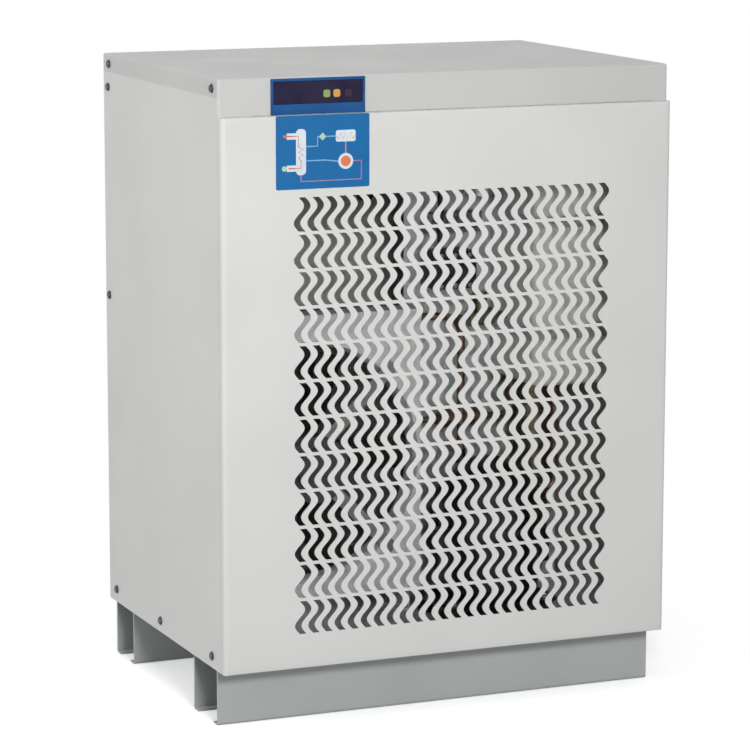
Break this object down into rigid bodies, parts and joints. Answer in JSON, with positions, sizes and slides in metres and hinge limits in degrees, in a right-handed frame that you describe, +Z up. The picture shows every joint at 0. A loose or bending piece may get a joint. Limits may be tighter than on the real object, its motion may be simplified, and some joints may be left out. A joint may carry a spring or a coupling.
{
  "type": "refrigerated compressed air dryer",
  "caption": "Floor standing refrigerated dryer for compressed air in a sheet steel cabinet with a wave slot grille, a header display and channel feet.",
  "frame": {"origin": "middle of the footprint, on the floor under the base channels", "axes": "+Z up, +Y towards the back with the pipe ports, +X to the right as seen from the front"},
  "size_m": [0.565, 0.423, 0.746],
  "materials": {
    "painted_steel": "textured light grey powder coat",
    "galvanised_steel": "galvanised sheet, dull spangle",
    "black_screws": "black oxide",
    "blue_bezel": "moulded plastic, satin",
    "dark_window": "tinted acrylic",
    "lamp_lens": "clear tinted lens",
    "label_film": "printed polyester film, satin",
    "black_plastic": "moulded glass filled nylon",
    "fan_plastic": "moulded polypropylene",
    "bright_steel": "ground steel bar",
    "grey_enamel": "stoved enamel",
    "zinc_wire": "zinc plated",
    "aluminium_fins": "mill finish fins",
    "black_enamel": "semi gloss stoved enamel",
    "rubber_mount": "moulded rubber",
    "white_foam": "closed cell foam in film",
    "brass": "turned brass",
    "copper_tube": "drawn copper, slightly tarnished",
    "grey_plastic": "moulded plastic",
    "capacitor_can": "drawn aluminium can",
    "clear_tube": "milky polyurethane tube",
    "black_cable": "black flexible sheath"
  },
  "bodies": {
    "cabinet": {"front_base_channel": "painted_steel", "rear_base_channel": "painted_steel", "base_pan": "galvanised_steel", "left_side_panel": "painted_steel", "right_side_panel": "painted_steel", "rear_panel": "painted_steel", "top_cover": "painted_steel", "front_top_rail": "galvanised_steel", "left_front_post": "galvanised_steel", "right_front_post": "galvanised_steel", "front_panel": "painted_steel", "front_panel_clips": "bright_steel", "left_side_screws": "black_screws", "right_side_screws": "black_screws", "rear_panel_screws": "black_screws", "component_plate": "galvanised_steel", "controller_housing": "black_plastic", "display_bezel": "blue_bezel", "display_window": "dark_window", "status_lamps": "lamp_lens", "schematic_label": "label_film", "fan_shroud": "galvanised_steel", "fan_motor": "grey_enamel", "motor_bracket": "zinc_wire", "condenser_coil": "aluminium_fins", "condenser_left_plate": "galvanised_steel", "condenser_right_plate": "galvanised_steel", "compressor_shell": "black_enamel", "compressor_foot_plate": "black_enamel", "compressor_mounts": "rubber_mount", "compressor_bolts": "bright_steel", "compressor_terminal_cover": "black_plastic", "exchanger_jacket": "white_foam", "exchanger_straps": "galvanised_steel", "exchanger_bracket": "galvanised_steel", "moisture_separator": "brass", "drain_valve": "brass", "drain_valve_coil": "black_plastic", "drain_tube": "clear_tube", "drain_port": "brass", "air_inlet_port": "brass", "air_inlet_pipe": "copper_tube", "air_outlet_port": "brass", "air_outlet_pipe": "copper_tube", "port_lock_nuts": "brass", "cable_gland": "black_plastic", "discharge_line": "copper_tube", "suction_line": "copper_tube", "liquid_line": "copper_tube", "condenser_outlet_line": "copper_tube", "filter_drier": "copper_tube", "hot_gas_valve": "brass", "contactor": "black_plastic", "terminal_block": "grey_plastic", "run_capacitor": "capacitor_can", "capacitor_clip": "galvanised_steel", "control_cable": "black_cable"},
    "fan": {"fan_wheel": "fan_plastic", "fan_shaft": "bright_steel"}
  },
  "joints": [
    {"name": "fan_spin", "type": "hinge", "parent": "cabinet", "child": "fan", "pos_m": [-0.118, -0.04, 0.272], "axis": [0, 1, 0], "continuous": true}
  ]
}
